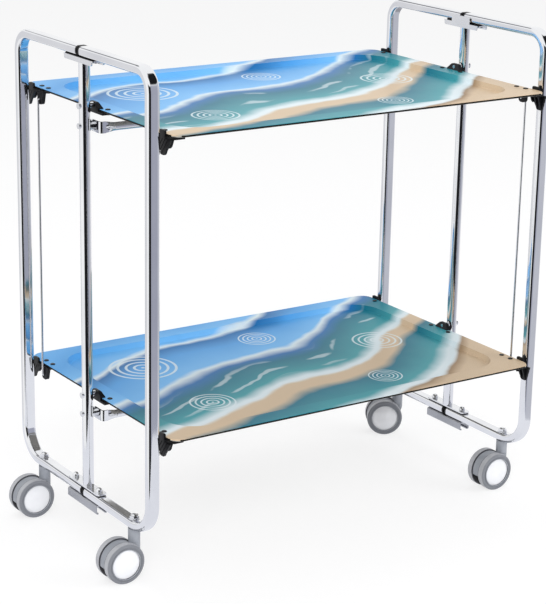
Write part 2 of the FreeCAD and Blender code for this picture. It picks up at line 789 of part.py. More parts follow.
def corner_block(level, lean):
    """Gusset, base under the border and lip above its edge, in front of the leg."""
    base_inner = tray_edge - fitting_base_width
    base_floor = level - fitting_base
    corner_inner = tray_edge - tray_corner
    base_points = [V(base_inner, corner_block_start, base_floor),
                   V(fitting_face, corner_block_start, base_floor),
                   V(fitting_face, corner_block_end, base_floor),
                   V(base_inner, corner_block_end, base_floor)]
    base = slab(base_points, [corner_round, 0, corner_round, corner_round],
                Z_DIR * fitting_base)
    inside = Part.Face(rounded_rectangle(V(0, 0, base_floor), X_DIR, Y_DIR,
                                         2 * fitting_face, tray_width,
                                         fitting_face - corner_inner)).extrude(Z_DIR * fitting_base)
    base = base.common(inside)
    lip_start = leg_line - corner_lip_length / 2
    lip_end = leg_line + corner_lip_length / 2
    lip_top = level + tray_sheet + corner_lip_height
    lip_points = [V(fitting_face, lip_start, base_floor), V(fitting_face, lip_end, base_floor),
                  V(fitting_face, lip_end, lip_top), V(fitting_face, lip_start, lip_top)]
    lip = slab(lip_points, [0, 0, corner_lip_round, corner_lip_round],
               X_DIR * (tray_edge - fitting_face))
    return fused([base, lip] + corner_gusset(level, lean))


def corner_blocks(level):
    """The four corner fittings of one tray; those without a rod slope on their outer side."""
    blocks = []
    for side in SIDES:
        for end in ENDS:
            lean = 1 if (end, side) in rod_corners else -1
            blocks.append(quarter(corner_block(level, lean), side, end))
    return cut_each(Part.makeCompound(blocks), rivet_bores(level, -overrun, 0))


def rod_bracket(level, bore_clearance):
    """Small bracket under the border with a pointed cheek that holds a link rod's end."""
    base_inner = tray_edge - fitting_base_width
    base_floor = level - fitting_base
    start = rod_line - rod_bracket_length + rod_bracket_nose
    finish = rod_line + rod_bracket_nose
    base_points = [V(base_inner, start, base_floor), V(fitting_face, start, base_floor),
                   V(fitting_face, finish, base_floor), V(base_inner, finish, base_floor)]
    base = slab(base_points, [corner_round, 0, 0, corner_round], Z_DIR * fitting_base)
    nose = V(fitting_face, rod_line, level - rod_drop)
    cheek_points = [V(fitting_face, start, level), V(fitting_face, finish, level),
                    V(fitting_face, finish, nose.z - rod_bracket_nose),
                    V(fitting_face, rod_line - rod_bracket_nose, nose.z - rod_bracket_nose),
                    V(fitting_face, start, base_floor)]
    nearly_nose = rod_bracket_nose - corner_round / 2
    cheek = slab(cheek_points, [0, 0, nearly_nose, nearly_nose, 0],
                 X_DIR * -rod_bracket_cheek)
    bore = cylinder(nose - X_DIR * (rod_bracket_cheek + overrun), X_DIR,
                    rod_diameter + 2 * bore_clearance, rod_bracket_cheek + 2 * overrun)
    return fused([base, cheek]).cut(bore)


def rod_brackets(level, bore_clearance):
    """The two rod brackets of one tray."""
    bracket = rod_bracket(level, bore_clearance)
    brackets = [quarter(bracket, side, end) for end, side in rod_corners]
    return cut_each(Part.makeCompound(brackets), rivet_bores(level, -overrun, 0))


def rivet(level):
    """Domed rivet through the border and the base of a fitting, on the axis x = y = 0."""
    top = level + tray_sheet
    base = level - fitting_base
    shank = rivet_diameter / 2
    points = [V(0, 0, base - rivet_tail_height), V(rivet_tail / 2, 0, base - rivet_tail_height),
              V(rivet_tail / 2, 0, base), V(shank, 0, base), V(shank, 0, top),
              V(rivet_head / 2, 0, top), V(rivet_head / 2, 0, top + rivet_head_height),
              V(0, 0, top + rivet_head_height)]
    radii = [0, 0, 0, 0, 0, 0, rivet_head_height - running_gap, 0]
    return turned((points, radii), ORIGIN, Z_DIR)


def tray_rivets(level):
    """All rivets of one tray."""
    body = rivet(level)
    rivets = []
    for place, corners in rivet_places():
        placed = body.translated(V(tray_edge - rivet_line, place, 0))
        rivets += [quarter(placed, side, end) for end, side in corners]
    return Part.makeCompound(rivets)


def link_rod(side, end):
    """Steel wire from the upper tray's bracket to the lower one, both ends bent inwards."""
    plane = fitting_face + rod_side_gap + rod_diameter / 2
    bend = rod_diameter / 2 + rod_bend_margin
    inner_end = fitting_face - rod_bracket_cheek - rod_tail
    high = upper_tray_level - rod_drop
    low = lower_tray_level - rod_drop
    points = [V(inner_end, rod_line, high), V(plane, rod_line, high), V(plane, rod_line, low),
              V(inner_end, rod_line, low)]
    path = Part.Wire(rounded_edges(points, [0, bend, bend, 0], False))
    section = Part.Wire(Part.Circle(points[0], X_DIR, rod_diameter / 2).toShape())
    rod = path.makePipeShell([section], True, False)
    return quarter(rod, side, end)


def castor_housing():
    """Neck, fender and web of a castor with its axle; the stem's axis is x = y = 0."""
    axle_point = V(-castor_trail, 0, wheel_radius)
    fender_radius = wheel_radius - fender_margin
    half_width = wheel_inner_face - wheel_side_gap
    inner_radius = fender_radius - fender_thickness
    half_web = fender_web / 2
    hub = wheel_hub_radius
    half_section = [V(0, 0, 0), V(0, half_width, 0), V(0, half_width, hub), V(0, half_web, hub),
                    V(0, half_web, inner_radius), V(0, half_width, inner_radius),
                    V(0, half_width, fender_radius), V(0, 0, fender_radius)]
    points = [axle_point + point for point in half_section]
    half_body = turned((points, [0] * len(points)), axle_point, Y_DIR)
    body = fused([half_body, half_body.mirror(axle_point, Y_DIR)])
    below = Part.makeBox(wheel_diameter, castor_width, wheel_diameter,
                         V(-castor_trail - wheel_radius, -wheel_face,
                           wheel_radius - fender_chord_drop - wheel_diameter))
    body = body.cut(below)
    neck_top = bottom_arm_floor - neck_top_gap
    neck = cylinder(V(0, 0, neck_foot), Z_DIR, neck_diameter, neck_top - neck_foot)
    root_width = 2 * half_width
    root_points = [V(-neck_diameter / 2, -half_width, neck_foot + overrun),
                   V(-neck_diameter, -half_width, wheel_radius),
                   V(0, -half_width, wheel_radius),
                   V(neck_diameter / 2, -half_width, neck_foot - neck_diameter / 2),
                   V(neck_diameter / 2, -half_width, neck_foot + overrun)]
    root = slab(root_points, [0, 0, 0, corner_round, 0], Y_DIR * root_width)
    neck_slice = cylinder(V(0, 0, 0), Z_DIR, neck_diameter, neck_top)
    root = root.common(fused([neck_slice, disc_body(axle_point, fender_radius, root_width)]))
    housing = fused([body, neck, root])
    bore = cylinder(V(0, 0, stem_floor - running_gap), Z_DIR, stem_diameter + 2 * pin_clearance,
                    neck_top)
    axle = cylinder(axle_point - Y_DIR * (axle_length / 2), Y_DIR, axle_diameter, axle_length)
    housing = housing.cut([bore, axle])
    return Part.makeCompound([housing, axle])


def disc_body(centre, radius, width):
    """A disc about the Y direction, centred in its width."""
    return cylinder(centre - Y_DIR * (width / 2), Y_DIR, 2 * radius, width)


def wheel(outward):
    """One wheel of a castor: tyre, web and hub turned about the axle."""
    inner = wheel_inner_face
    face = wheel_face
    seat_radius = cap_diameter / 2 + cap_clearance
    bore = axle_diameter / 2 + pin_clearance
    seat = face - cap_seat
    section = [V(0, inner, bore), V(0, inner, wheel_hub_radius),
               V(0, inner + wheel_pocket_depth, wheel_hub_radius),
               V(0, inner + wheel_pocket_depth, wheel_pocket_outer),
               V(0, inner, wheel_pocket_outer), V(0, inner, wheel_radius),
               V(0, face, wheel_radius), V(0, face, wheel_groove_outer),
               V(0, face - wheel_groove_depth, wheel_groove_outer),
               V(0, face - wheel_groove_depth, wheel_groove_inner),
               V(0, face, wheel_groove_inner), V(0, face, seat_radius),
               V(0, seat, seat_radius), V(0, seat, bore)]
    radii = [0] * len(section)
    radii[5] = wheel_inner_round
    radii[6] = wheel_edge_round
    axle_point = V(-castor_trail, 0, wheel_radius)
    points = [axle_point + point for point in section]
    shape = turned((points, radii), axle_point, Y_DIR)
    return shape if outward > 0 else shape.mirror(ORIGIN, Y_DIR)


def hub_cap(outward):
    """Domed cap in the outer face of a wheel."""
    seat = wheel_face - cap_seat
    edge = wheel_face - cap_seat + cap_edge
    radius = cap_diameter / 2
    rise = cap_rise
    crown = V(0, edge + rise, 0)
    rim = V(0, edge, radius)
    dome_radius = (radius ** 2 + rise ** 2) / (2 * rise)
    half_chord = math.asin(radius / dome_radius) / 2
    middle = V(0, edge + rise - dome_radius * (1 - math.cos(half_chord)),
               dome_radius * math.sin(half_chord))
    axle_point = V(-castor_trail, 0, wheel_radius)
    corners = [axle_point + point for point in (crown, V(0, seat, 0), V(0, seat, radius), rim)]
    edges = [Part.makeLine(corners[i], corners[i + 1]) for i in range(len(corners) - 1)]
    edges.append(Part.Arc(corners[-1], axle_point + middle, corners[0]).toShape())
    shape = Part.Face(Part.Wire(edges)).revolve(axle_point, Y_DIR, FULL_TURN)
    return shape if outward > 0 else shape.mirror(ORIGIN, Y_DIR)


def centre_frame_parts():
    """Posts, crossbars, hinge plates and pins: the pieces that nothing turns."""
    parts = {}
    makers = {"post": post, "top_hinge_bracket": top_hinge_bracket,
              "bottom_hinge_plate": bottom_hinge_plate,
              "bottom_hinge_channel": bottom_hinge_channel}
    for name, maker in makers.items():
        right = maker()
        parts[name + "_right"] = right
        parts[name + "_left"] = right.mirror(ORIGIN, X_DIR)
    for name, level in tray_levels.items():
        parts["crossbar_" + name] = crossbar(level)
    parts["crossbar_spacers"] = crossbar_spacers()
    parts["crossbar_screws"] = crossbar_screws()
    parts["hinge_shims"] = hinge_shims()
    parts["hinge_pins"] = hinge_pins()
    parts["tray_pivot_pins"] = tray_pivot_pins()
    return parts


def half_frame_parts():
    """Four C-shaped half frames with their plugs and castor fixings."""
    parts = {}
    makers = {"frame_tube": half_frame_tube, "end_plugs": end_plugs,
              "castor_fixing": castor_fixing}
    for name, maker in makers.items():
        shape = maker()
        for side in SIDES:
            for end in ENDS:
                parts["_".join((end, side, name))] = quarter(shape, side, end)
    return parts


def tray_parts():
    """Both trays with their fittings, and the link rods between them."""
    parts = {}
    for name, level in tray_levels.items():
        bore_clearance = pin_clearance if name == "upper" else open_pivot_clearance
        parts[name + "_tray_panel"] = tray_panel(level)
        parts[name + "_tray_pivot_blocks"] = pivot_blocks(level)
        parts[name + "_tray_corner_blocks"] = corner_blocks(level)
        parts[name + "_tray_rod_brackets"] = rod_brackets(level, bore_clearance)
        parts[name + "_tray_rivets"] = tray_rivets(level)
    for end, side in rod_corners:
        parts["_".join((end, side, "link_rod"))] = link_rod(side, end)
    return parts


def castor_parts():
    """Four castors, each a housing, two wheels and two hub caps, turned about their stems."""
    pieces = {"housing": castor_housing()}
    for face, outward in ENDS.items():
        pieces["wheel_" + face] = wheel(outward)
        pieces["cap_" + face] = hub_cap(outward)
    parts = {}
    for side, x_sign in SIDES.items():
        for end, y_sign in ENDS.items():
            stem = V(x_sign * leg_plane, y_sign * stem_line, 0)
            heading = castor_headings.get((end, side), 0)
            for name, shape in pieces.items():
                placed = shape.rotated(ORIGIN, Z_DIR, heading).translated(stem)
                parts["_".join((end, side, "castor", name))] = placed
    return parts


def main():
    """Write each named piece as its own STEP file."""
    os.makedirs("parts", exist_ok=True)
    parts = {}
    for group in (centre_frame_parts, half_frame_parts, tray_parts, castor_parts):
        parts.update(group())
    for name, shape in parts.items():
        solids = len(shape.Solids)
        print(f"{name}: {solids} solids, {shape.Volume:.0f} mm3, valid {shape.isValid()}")
        shape.exportStep(os.path.join("parts", name + ".step"))
    print(len(parts), "files")


main()
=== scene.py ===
"""Looks of the folding kitchen cart: finishes, small added pieces, studio and camera.

Metres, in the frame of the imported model: +Z up, front -Y, left -X, origin on the floor.
"""
import logging
import math
from dataclasses import dataclass, field
from enum import Enum
from typing import Any, Callable, Iterable

import bmesh
import bpy
from mathutils import Matrix, Vector


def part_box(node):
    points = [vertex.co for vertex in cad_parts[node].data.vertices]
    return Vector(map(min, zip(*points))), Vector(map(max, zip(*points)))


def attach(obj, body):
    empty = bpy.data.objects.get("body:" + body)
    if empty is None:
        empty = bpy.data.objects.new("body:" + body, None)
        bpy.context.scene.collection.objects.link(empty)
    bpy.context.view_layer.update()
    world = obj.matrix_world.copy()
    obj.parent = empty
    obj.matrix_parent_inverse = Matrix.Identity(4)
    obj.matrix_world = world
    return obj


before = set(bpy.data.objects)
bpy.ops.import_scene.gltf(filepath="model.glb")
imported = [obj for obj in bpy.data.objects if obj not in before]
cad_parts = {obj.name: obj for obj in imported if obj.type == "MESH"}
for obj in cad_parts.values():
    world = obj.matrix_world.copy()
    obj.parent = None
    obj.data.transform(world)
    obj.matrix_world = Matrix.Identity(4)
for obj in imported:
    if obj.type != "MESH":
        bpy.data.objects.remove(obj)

LOG = logging.getLogger("cart")
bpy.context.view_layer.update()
WHITE = (1.0, 1.0, 1.0)
TINY = 0.0001
SOFT_EDGE = (0.3, 0.7)
MERGE_DISTANCE = 0.000005
SMOOTH_ANGLE = math.radians(40.0)


class End(Enum):
    """The two long sides of the cart."""

    FRONT = "front"
    REAR = "rear"


class Side(Enum):
    """The two short ends of the cart."""

    LEFT = "left"
    RIGHT = "right"


class Level(Enum):
    """The two trays."""

    UPPER = "upper"
    LOWER = "lower"


class Value:
    """A number socket that adds Math nodes when it is used in an expression."""

    def __init__(self, tree: bpy.types.NodeTree, socket: Any) -> None:
        self.tree = tree
        self.socket = socket

    def _math(self, operation: str, first: Any, second: Any = None) -> "Value":
        """Adds one Math node.

        Args:
            operation: The node's operation.
            first: A Value or a number.
            second: A Value, a number or nothing.

        Returns:
            The node's result.
        """
        node = self.tree.nodes.new("ShaderNodeMath")
        node.operation = operation
        for index, part in enumerate((first, second)):
            if isinstance(part, Value):
                self.tree.links.new(part.socket, node.inputs[index])
            elif part is not None:
                node.inputs[index].default_value = part
        return Value(self.tree, node.outputs[0])

    def __add__(self, other: Any) -> "Value":
        """This plus other."""
        return self._math("ADD", self, other)

    def __sub__(self, other: Any) -> "Value":
        """This minus other."""
        return self._math("SUBTRACT", self, other)

    def __rsub__(self, other: Any) -> "Value":
        """Other minus this."""
        return self._math("SUBTRACT", other, self)

    def __mul__(self, other: Any) -> "Value":
        """This times other."""
        return self._math("MULTIPLY", self, other)

    def __truediv__(self, other: Any) -> "Value":
        """This divided by other."""
        return self._math("DIVIDE", self, other)

    def __gt__(self, other: Any) -> "Value":
        """One where this is greater than other."""
        return self._math("GREATER_THAN", self, other)

    def __lt__(self, other: Any) -> "Value":
        """One where this is less than other."""
        return self._math("LESS_THAN", self, other)

    def sine(self) -> "Value":
        """Sine of this."""
        return self._math("SINE", self)

    def size(self) -> "Value":
        """This without its sign."""
        return self._math("ABSOLUTE", self)

    def sign(self) -> "Value":
        """One or minus one."""
        return self._math("SIGN", self)

    def power(self, exponent: float) -> "Value":
        """This to a power."""
        return self._math("POWER", self, exponent)

    def larger(self, other: Any) -> "Value":
        """The larger of this and other."""
        return self._math("MAXIMUM", self, other)

    def smaller(self, other: Any) -> "Value":
        """The smaller of this and other."""
        return self._math("MINIMUM", self, other)

    def step(self, low: float, high: float) -> "Value":
        """Rises smoothly from 0 at low to 1 at high.

        Args:
            low: Where the rise starts.
            high: Where it ends.

        Returns:
            A mask from 0 to 1.
        """
        node = self.tree.nodes.new("ShaderNodeMapRange")
        node.interpolation_type = "SMOOTHSTEP"
        node.inputs["From Min"].default_value = low
        node.inputs["From Max"].default_value = high
        self.tree.links.new(self.socket, node.inputs["Value"])
        return Value(self.tree, node.outputs["Result"])


class Finish:
    """A material under construction: its node tree and its main shader."""

    def __init__(self, name: str) -> None:
        self.material = bpy.data.materials.new(name)
        self.material.use_nodes = True
        self.tree = self.material.node_tree
        self.shader = self.tree.nodes["Principled BSDF"]

    @classmethod
    def of(cls, owner: bpy.types.ID, shader: str = "Principled BSDF") -> "Finish":
        """Opens the nodes of a material or world.

        Args:
            owner: The material or world.
            shader: Name of its main shader.

        Returns:
            The finish.
        """
        finish = cls.__new__(cls)
        finish.material = owner
        finish.tree = owner.node_tree
        finish.shader = finish.tree.nodes[shader]
        return finish

    def add(self, kind: str, settings: dict[str, Any] | None = None,
            sockets: dict[Any, Any] | None = None) -> bpy.types.Node:
        """Adds any node.

        Args:
            kind: The node's type.
            settings: Properties that are set first. "stops" fills a colour ramp.
            sockets: Values or links of its inputs, by name or index.

        Returns:
            The new node.
        """
        node = self.tree.nodes.new(kind)
        for key, value in (settings or {}).items():
            if key == "stops":
                self._fill_ramp(node.color_ramp, value)
            else:
                setattr(node, key, value)
        for key, value in (sockets or {}).items():
            self.feed(node.inputs[key], value)
        return node

    def feed(self, socket: Any, value: Any) -> None:
        """Links or sets one input socket."""
        if isinstance(value, Value):
            self.tree.links.new(value.socket, socket)
        elif isinstance(value, bpy.types.NodeSocket):
            self.tree.links.new(value, socket)
        else:
            socket.default_value = value

    @staticmethod
    def _fill_ramp(ramp: bpy.types.ColorRamp, stops: Iterable[tuple]) -> None:
        """Puts (place, colour) stops on a ramp."""
        stops = list(stops)
        while len(ramp.elements) < len(stops):
            ramp.elements.new(0.5)
        for element, (place, colour) in zip(ramp.elements, stops):
            element.position = place
            element.color = (*colour, 1.0)

    def value(self, socket: Any) -> Value:
        """Wraps a number socket for expressions."""
        return Value(self.tree, socket)

    def place(self) -> Any:
        """The object coordinates' socket."""
        return self.add("ShaderNodeTexCoord").outputs["Object"]

    def axes(self) -> tuple[Value, Value, Value]:
        """The three object coordinates as values, in metres."""
        split = self.add("ShaderNodeSeparateXYZ", None, {0: self.place()})
        return tuple(self.value(split.outputs[index]) for index in range(3))

    def noise(self, scale: float, detail: float = 3.0, stretch: tuple = (1, 1, 1)) -> Value:
        """Noise on object coordinates.

        Args:
            scale: Noise cells in a metre.
            detail: Octaves.
            stretch: Scale of each axis before the noise.

        Returns:
            A value around 0.5.
        """
        mapping = self.add("ShaderNodeMapping", None, {"Vector": self.place(), "Scale": stretch})
        node = self.add("ShaderNodeTexNoise", None, {"Vector": mapping.outputs[0],
                                                      "Scale": scale, "Detail": detail})
        return self.value(node.outputs["Fac"])

    def mix(self, mask: Any, low: Any, high: Any) -> Any:
        """Mixes two colours by a mask.

        Args:
            mask: A value or number from 0 to 1.
            low: Colour where the mask is 0.
            high: Colour where the mask is 1.

        Returns:
            The mixed colour's socket.
        """
        node = self.add("ShaderNodeMix", {"data_type": "RGBA"})
        self.feed(node.inputs[0], mask)
        for index, colour in ((6, low), (7, high)):
            if isinstance(colour, tuple):
                colour = (*colour, 1.0)
            self.feed(node.inputs[index], colour)
        return node.outputs[2]

    def bump(self, height: Value, strength: float, distance: float) -> None:
        """Feeds the shader's normal from a height."""
        node = self.add("ShaderNodeBump", None, {"Height": height, "Strength": strength,
                                                  "Distance": distance})
        self.feed(self.shader.inputs["Normal"], node.outputs[0])

    def surface(self, shader: bpy.types.Node) -> None:
        """Makes a shader the material's surface."""
        output = self.tree.nodes["Material Output"]
        self.tree.links.new(shader.outputs[0], output.inputs["Surface"])

    def set(self, **sockets: Any) -> None:
        """Sets the shader's inputs, with underscores for the spaces in their names."""
        for key, value in sockets.items():
            name = key.replace("_", " ")
            if isinstance(value, tuple):
                value = (*value, 1.0)
            self.feed(self.shader.inputs[name], value)


@dataclass(frozen=True)
class PolishedPlate:
    """Bright plate on steel: chrome tube, pressed plate or drawn wire."""

    name: str
    tint: tuple = (0.86, 0.87, 0.89)
    shade: tuple = (0.78, 0.79, 0.82)
    roughness: float = 0.05
    spread: float = 0.05
    haze_cells: float = 14.0
    scratch: float = 0.08
    scratch_depth: float = 0.00002
    scratch_cells: float = 300.0
    scratch_stretch: tuple = (1.0, 1.0, 0.06)

    def build(self) -> bpy.types.Material:
        """The finish as a material."""
        finish = Finish(self.name)
        haze = finish.noise(self.haze_cells, 4.0)
        scratches = finish.noise(self.scratch_cells, 2.0, self.scratch_stretch)
        finish.set(Base_Color=finish.mix(haze.step(*SOFT_EDGE), self.tint, self.shade),
                   Roughness=haze * self.spread + self.roughness, Metallic=1.0)
        finish.bump(scratches, self.scratch, self.scratch_depth)
        return finish.material


@dataclass(frozen=True)
class RolledTube:
    """Chromed flat-oval tube: its rounded corners mirror much as the nearer flat does.

    The tube lies in a plane of constant X, so a normal's X part belongs to the two flats that
    face along X and the rest of it to the other two.
    """

    plate: PolishedPlate
    corner: float = 1.5

    def build(self) -> bpy.types.Material:
        """The plate's finish, with normals that lean to the nearer flat."""
        material = self.plate.build()
        finish = Finish.of(material)
        facing = finish.add("ShaderNodeVectorTransform",
                            {"vector_type": "NORMAL", "convert_from": "WORLD",
                             "convert_to": "OBJECT"},
                            {0: finish.add("ShaderNodeNewGeometry").outputs["Normal"]})
        split = finish.add("ShaderNodeSeparateXYZ", None, {0: facing.outputs[0]})
        x, y, z = (finish.value(split.outputs[index]) for index in range(3))
        inward = (y * y + z * z).power(0.5).larger(TINY)
        share = inward.power(self.corner) / inward
        across = x.size().power(self.corner) * x.sign()
        joined = finish.add("ShaderNodeCombineXYZ", None, {0: across, 1: y * share, 2: z * share})
        leaning = finish.add("ShaderNodeVectorTransform",
                             {"vector_type": "NORMAL", "convert_from": "OBJECT",
                              "convert_to": "WORLD"}, {0: joined.outputs[0]})
        unit = finish.add("ShaderNodeVectorMath", {"operation": "NORMALIZE"},
                          {0: leaning.outputs[0]})
        bump = finish.tree.nodes["Bump"]
        finish.feed(bump.inputs["Normal"], unit.outputs[0])
        return material


@dataclass(frozen=True)
class MouldedPlastic:
    """Moulded plastic with a fine grain."""

    name: str
    tint: tuple
    shade: tuple
    roughness: float
    spread: float = 0.12
    cloud_cells: float = 60.0
    grain: float = 0.25
    grain_depth: float = 0.00005
    grain_cells: float = 2600.0
    coat: float = 0.0
    shine: float = 0.5

    def build(self) -> bpy.types.Material:
        """The finish as a material."""
        finish = Finish(self.name)
        cloud = finish.noise(self.cloud_cells, 3.0)
        grain = finish.noise(self.grain_cells, 2.0)
        finish.set(Base_Color=finish.mix(cloud.step(*SOFT_EDGE), self.tint, self.shade),
                   Roughness=cloud * self.spread + (self.roughness - self.spread / 2))
        finish.shader.inputs["Coat Weight"].default_value = self.coat
        finish.shader.inputs["Specular IOR Level"].default_value = self.shine
        finish.bump(grain, self.grain, self.grain_depth)
        return finish.material


@dataclass(frozen=True)
class Rings:
    """Plain rings round one place of the print, in metres."""

    x: float
    y: float
    reach: float
    count: float = 4.5
    start: float = 1.2
    line: tuple = (0.3, 0.7)
    edge_share: float = 0.92

    def mask(self, x: Value, y: Value) -> Value:
        """Where the rings are.

        Args:
            x: Place along the tray.
            y: Place across the tray.

        Returns:
            One on a ring.
        """
        along, across = x - self.x, y - self.y
        away = (along * along + across * across).power(0.5)
        rings = (away * (2 * math.pi * self.count / self.reach) + self.start).sine()
        inside = 1.0 - away.step(self.reach * self.edge_share, self.reach)
        return rings.step(*self.line) * inside


@dataclass(frozen=True)
class Waves:
    """Lines of the generic print: how its ribbons slant, sway and warp, and its ripples."""

    slant: tuple = (0.42, 0.80)
    long_turn: float = 8.0
    long_start: float = 0.6
    long_swing: float = 0.030
    short_turn: tuple = (19.0, 9.0)
    short_swing: float = 0.009
    warp_share: float = 0.05
    ripple_turns: tuple = (210.0, 23.0)
    ripple_warps: tuple = (9.0, 6.0)
    ripple_line: tuple = (0.6, 0.9)

    def run(self, x: Value, y: Value, warp: Value) -> Value:
        """Way across the ribbons.

        Args:
            x: Place along the tray.
            y: Place across the tray.
            warp: Noise around 0.

        Returns:
            The way in metres, 0 near the tray's middle.
        """
        sway = ((x * self.long_turn + self.long_start).sine() * self.long_swing
                + (x * self.short_turn[0] + y * self.short_turn[1]).sine() * self.short_swing)
        return y * self.slant[1] - x * self.slant[0] + sway + warp * self.warp_share

    def ripples(self, run: Value, x: Value, warp: Value) -> Value:
        """Short light lines along the ribbons.

        Args:
            run: Way across the ribbons.
            x: Place along the tray.
            warp: Noise around 0.

        Returns:
            One on a line.
        """
        across = (run * self.ripple_turns[0] + warp * self.ripple_warps[0]).sine()
        along = (x * self.ripple_turns[1] + warp * self.ripple_warps[1]).sine()
        return (across * along).step(*self.ripple_line)


@dataclass(frozen=True)
class TrayPrint:
    """Semi-gloss printed face: slanting ribbons in sand, foam, sea and sky colours with rings."""

    name: str
    underside_level: float
    border_top: float
    half_length: float
    half_width: float
    sand: tuple = (0.66, 0.51, 0.35)
    grit: tuple = (0.36, 0.24, 0.14)
    foam: tuple = (0.74, 0.84, 0.88)
    shallow: tuple = (0.05, 0.33, 0.38)
    sea: tuple = (0.010, 0.17, 0.25)
    deep: tuple = (0.02, 0.16, 0.42)
    haze: tuple = (0.19, 0.51, 0.90)
    sky: tuple = (0.09, 0.36, 0.76)
    underside: tuple = (0.30, 0.29, 0.27)
    edge: tuple = (0.012, 0.011, 0.010)
    waves: Waves = Waves()
    print_width: float = 0.56
    warp_cells: float = 7.0
    sand_end: tuple = (0.185, 0.20)
    grit_cells: float = 1100.0
    grit_range: tuple = (0.52, 0.75)
    grit_share: float = 0.5
    water_start: tuple = (0.44, 0.48)
    water_end: tuple = (0.53, 0.57)
    ripple_share: float = 0.5
    rings: tuple = (Rings(-0.175, 0.085, 0.052), Rings(0.035, 0.115, 0.030),
                    Rings(-0.165, -0.085, 0.034), Rings(0.185, 0.02, 0.040),
                    Rings(0.10, -0.115, 0.026))
    ring_share: float = 0.75
    roughness: float = 0.27
    spread: float = 0.10
    haze_cells: float = 18.0
    shine: float = 0.09
    grain: float = 0.04
    grain_depth: float = 0.00004
    grain_cells: float = 900.0
    edge_share: float = 0.12
    edge_reach: float = 0.0016
    border: float = 0.028
    recess_depth: float = 0.007
    recess_slope: float = 0.004
    recess_corner: float = 0.045

    @property
    def sheet(self) -> float:
        """Thickness of the sheet."""
        return self.border_top - self.underside_level

    def stops(self) -> list[tuple]:
        """Places and colours of the ribbons across the tray."""
        return [(0.00, self.sand), (0.18, self.sand), (0.203, self.grit), (0.213, self.foam),
                (0.228, self.foam), (0.255, self.shallow), (0.34, self.sea), (0.365, self.sand),
                (0.40, self.sand), (0.411, self.foam), (0.42, self.foam), (0.45, self.shallow),
                (0.54, self.sea), (0.575, self.deep), (0.60, self.foam), (0.612, self.haze),
                (0.70, self.sky), (0.755, self.deep), (0.77, self.foam), (0.785, self.haze),
                (0.86, self.sky), (1.00, self.haze)]

    def middle_level(self, x: Value, y: Value) -> Value:
        """Height of the middle of the sheet, which parts the printed face from the underside.

        Args:
            x: Place along the tray.
            y: Place across the tray.

        Returns:
            The height, which falls by the recess's depth inside its rounded outline.
        """
        along = x.size() - (self.half_length - self.border - self.recess_corner)
        across = y.size() - (self.half_width - self.border - self.recess_corner)
        round_x, round_y = along.larger(0.0), across.larger(0.0)
        outside = (round_x * round_x + round_y * round_y).power(0.5)
        outside = outside + along.larger(across).smaller(0.0) - self.recess_corner
        fall = ((self.sheet / 2 - outside) / self.recess_slope).larger(0.0).smaller(1.0)
        return self.border_top - self.sheet / 2 - fall * self.recess_depth

    def rim(self, x: Value, y: Value, z: Value) -> Value:
        """Where the dark cut edge of the sheet is.

        Args:
            x: Place along the tray.
            y: Place across the tray.
            z: Height.

        Returns:
            One on the edge, between the two faces.
        """
        outer = (x.size() > self.half_length - self.edge_reach).larger(
            y.size() > self.half_width - self.edge_reach)
        low = z < self.border_top - self.sheet * self.edge_share
        under = z < self.underside_level + self.sheet * self.edge_share
        return outer * low * (1.0 - under)

    def picture(self, finish: Finish, x: Value, y: Value) -> Any:
        """The print's colours.

        Args:
            finish: The finish that is being built.
            x: Place along the tray.
            y: Place across the tray.

        Returns:
            The colour's socket.
        """
        warp = finish.noise(self.warp_cells, 3.0) - 0.5
        run = self.waves.run(x, y, warp)
        place = run / self.print_width + 0.5
        ramp = finish.add("ShaderNodeValToRGB", {"stops": self.stops()}, {"Fac": place})
        on_sand = 1.0 - place.step(*self.sand_end)
        grains = finish.noise(self.grit_cells, 2.0).step(*self.grit_range)
        coloured = finish.mix(grains * on_sand * self.grit_share, ramp.outputs["Color"], self.grit)
        in_water = place.step(*self.water_start) * (1.0 - place.step(*self.water_end))
        ripples = self.waves.ripples(run, x, warp) * in_water
        coloured = finish.mix(ripples * self.ripple_share, coloured, self.foam)
        for rings in self.rings:
            coloured = finish.mix(rings.mask(x, y) * self.ring_share, coloured, self.foam)
        return coloured

    def build(self) -> bpy.types.Material:
        """The finish as a material."""
        finish = Finish(self.name)
        x, y, z = finish.axes()
        coloured = self.picture(finish, x, y)
        coloured = finish.mix(z < self.middle_level(x, y), coloured, self.underside)
        coloured = finish.mix(self.rim(x, y, z), coloured, self.edge)
        haze = finish.noise(self.haze_cells, 3.0)
        finish.set(Base_Color=coloured, Roughness=haze * self.spread + self.roughness)
        finish.shader.inputs["Specular IOR Level"].default_value = self.shine
        finish.bump(finish.noise(self.grain_cells, 2.0), self.grain, self.grain_depth)
        return finish.material


